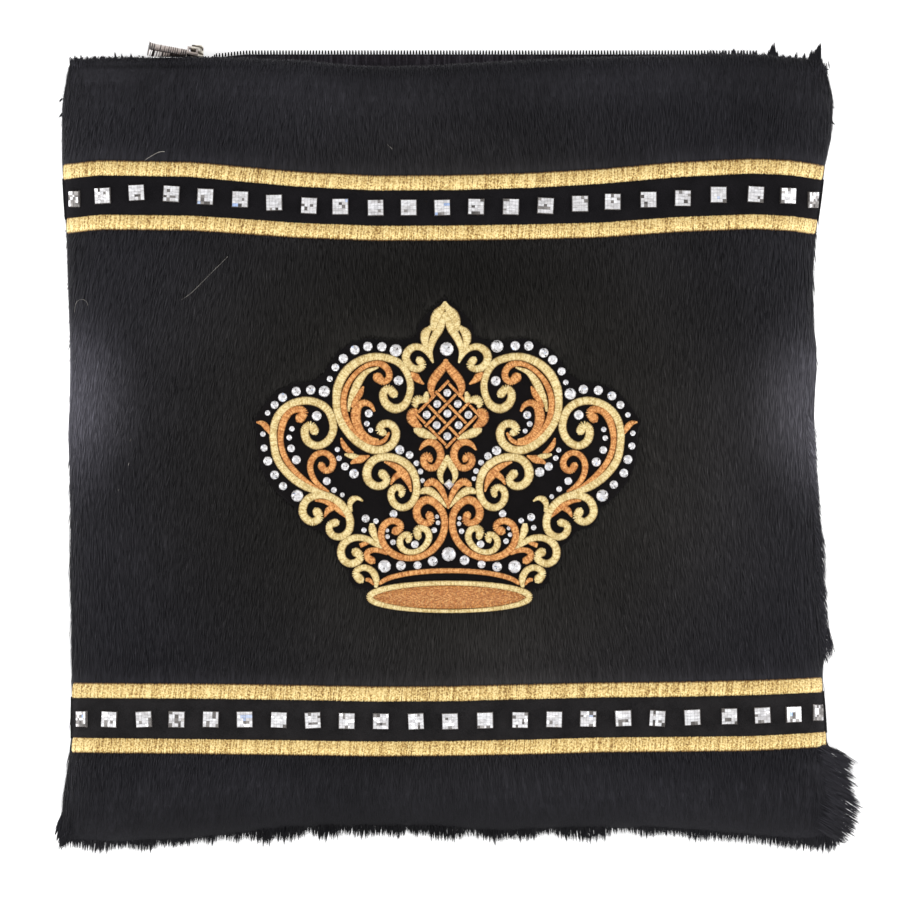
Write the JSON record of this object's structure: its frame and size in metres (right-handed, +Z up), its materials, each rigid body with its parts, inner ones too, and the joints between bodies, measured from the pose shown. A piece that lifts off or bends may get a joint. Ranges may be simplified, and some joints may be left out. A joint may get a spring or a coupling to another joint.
{
  "type": "tallit bag",
  "caption": "Flat square fur pouch lying on its back, with jewelled velvet bands, a crown in raised satin scrolls and stones, and an open zip along the top.",
  "frame": {"origin": "on the ground under the middle of the bag, which lies on its back", "axes": "+X across the bag to the right of the crown, +Y to the zip end, +Z up through the jewelled front"},
  "size_m": [0.3922, 0.4002, 0.039],
  "materials": {
    "fur": "short black fur pile lying towards the bottom edge",
    "velvet": "matt black velvet",
    "gold_satin": "satin stitch thread",
    "tape": "woven tape",
    "coil": "zip coil",
    "zip_metal": "bright plated metal"
  },
  "bodies": {
    "bag": {"back_panel": "fur", "front_panel": "fur", "upper_band": "velvet", "upper_border_top": "gold_satin", "upper_border_bottom": "gold_satin", "lower_band": "velvet", "lower_border_top": "gold_satin", "lower_border_bottom": "gold_satin", "crown": "gold_satin", "crown_base": "gold_satin", "zip_tape_front": "tape", "zip_tape_back": "tape", "zip_coil_front": "coil", "zip_coil_back": "coil", "zip_slider": "zip_metal", "zip_end_stop": "zip_metal"},
    "zip_pull": {"zip_pull": "zip_metal"}
  },
  "joints": [
    {"name": "pull_hinge", "type": "hinge", "parent": "bag", "child": "zip_pull", "pos_m": [-0.12952, 0.19208, 0.01734], "axis": [0, 0.6428, -0.766], "range_deg": [-10, 136]}
  ]
}
